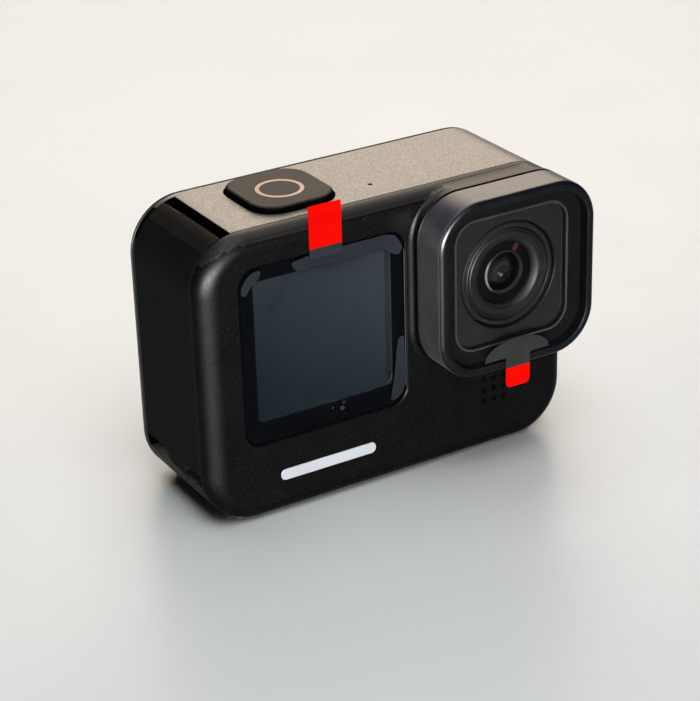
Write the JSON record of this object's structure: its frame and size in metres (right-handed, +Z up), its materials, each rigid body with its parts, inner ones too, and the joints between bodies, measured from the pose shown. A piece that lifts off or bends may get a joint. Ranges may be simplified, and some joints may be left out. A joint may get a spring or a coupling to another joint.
{
  "type": "action camera",
  "caption": "Box-shaped action camera with front and rear screens, a square twist-off lens cover, a hinged side door, top and side buttons, and folding mount fingers underneath.",
  "frame": {"origin": "centre of the bounding box in X and Y, at the flat bottom the camera stands on", "axes": "+Z up, -Y towards what the lens looks at, +X to the lens side as seen from the front"},
  "size_m": [0.071, 0.0336, 0.0535],
  "materials": {
    "moulded_black": "fine moulded texture",
    "door_black": "flat moulded black",
    "cover_black": "satin navy black",
    "rubber_black": "soft black",
    "screen_glass": "polished dark glass",
    "clear_glass": "polished clear glass",
    "clear_film": "thin clear film",
    "red_film": "red printed film",
    "lens_black": "satin olive black",
    "lens_glass": "coated lens glass",
    "badge_grey": "pale grey print",
    "steel": "satin",
    "aluminium": "satin",
    "board_green": "solder mask",
    "cell_blue": "printed cell sleeve",
    "gold_contact": "gold plated",
    "display_dark": "dark display stack",
    "light_pipe": "clear light pipe"
  },
  "bodies": {
    "root": {"front_shell": "moulded_black", "mid_housing": "moulded_black", "rear_frame": "moulded_black", "badge_plate": "badge_grey", "door_hinge_pin": "steel", "battery_bay": "moulded_black", "battery": "cell_blue", "battery_pull_tab": "badge_grey", "battery_contacts": "gold_contact", "usb_c_port": "steel", "card_slot": "steel", "main_board": "board_green", "processor_shield": "aluminium", "board_screw_upper": "steel", "board_screw_lower": "steel", "heat_spreader": "aluminium", "speaker_module": "rubber_black", "speaker_mesh": "steel", "top_microphone": "steel", "front_screen_glass": "screen_glass", "front_display_panel": "display_dark", "front_status_light": "light_pipe", "rear_touch_glass": "screen_glass", "rear_display_panel": "display_dark", "rear_status_light": "light_pipe", "screen_film": "clear_film", "screen_film_tab": "red_film", "mount_tray": "moulded_black", "finger_pin_left": "steel", "finger_pin_right": "steel", "bayonet_ring": "lens_black", "lens_barrel": "lens_black", "lens_retaining_ring": "lens_black", "lens_front_element": "lens_glass", "lens_middle_element": "lens_glass", "lens_rear_element": "lens_glass", "infrared_filter": "clear_glass", "image_sensor": "display_dark", "sensor_board": "board_green", "shutter_seal": "rubber_black", "shutter_switch": "steel", "mode_seal": "rubber_black", "mode_switch": "steel"},
    "door": {"side_door": "door_black", "door_seal": "rubber_black", "door_latch_spring": "steel"},
    "latch": {"door_latch": "door_black"},
    "card": {"microsd_card": "rubber_black"},
    "lens_cover": {"lens_cover_frame": "cover_black", "lens_cover_glass": "clear_glass", "lens_cover_gasket": "rubber_black", "lens_film": "clear_film", "lens_film_tab": "red_film"},
    "finger_left": {"folding_finger_left": "moulded_black"},
    "finger_right": {"folding_finger_right": "moulded_black"},
    "shutter": {"shutter_button": "moulded_black"},
    "mode": {"mode_button": "moulded_black"}
  },
  "joints": [
    {"name": "shutter_press", "type": "slide", "parent": "root", "child": "shutter", "axis": [0, 0, -1], "range_m": [0, 0.0005], "stiffness_N_per_m": 3000},
    {"name": "mode_press", "type": "slide", "parent": "root", "child": "mode", "axis": [-1, 0, 0], "range_m": [0, 0.00035], "stiffness_N_per_m": 3000},
    {"name": "door_hinge", "type": "hinge", "parent": "root", "child": "door", "pos_m": [-0.03, 0.0047, 0.04865], "axis": [0, 1, 0], "range_deg": [0, 110]},
    {"name": "door_latch_slide", "type": "slide", "parent": "door", "child": "latch", "axis": [0, 1, 0], "range_m": [0, 0.002], "stiffness_N_per_m": 200},
    {"name": "lens_cover_twist", "type": "hinge", "parent": "root", "child": "lens_cover", "pos_m": [0.01965, -0.01, 0.03495], "axis": [0, -1, 0], "range_deg": [0, 45]},
    {"name": "card_push", "type": "slide", "parent": "root", "child": "card", "axis": [1, 0, 0], "range_m": [0, 0.0006], "stiffness_N_per_m": 500},
    {"name": "finger_left_fold", "type": "hinge", "parent": "root", "child": "finger_left", "pos_m": [-0.003, 0.0052, 0.0021], "axis": [0, -1, 0], "range_deg": [0, 90]},
    {"name": "finger_right_fold", "type": "hinge", "parent": "root", "child": "finger_right", "pos_m": [0.003, 0.0052, 0.0021], "axis": [0, 1, 0], "range_deg": [0, 90]}
  ]
}
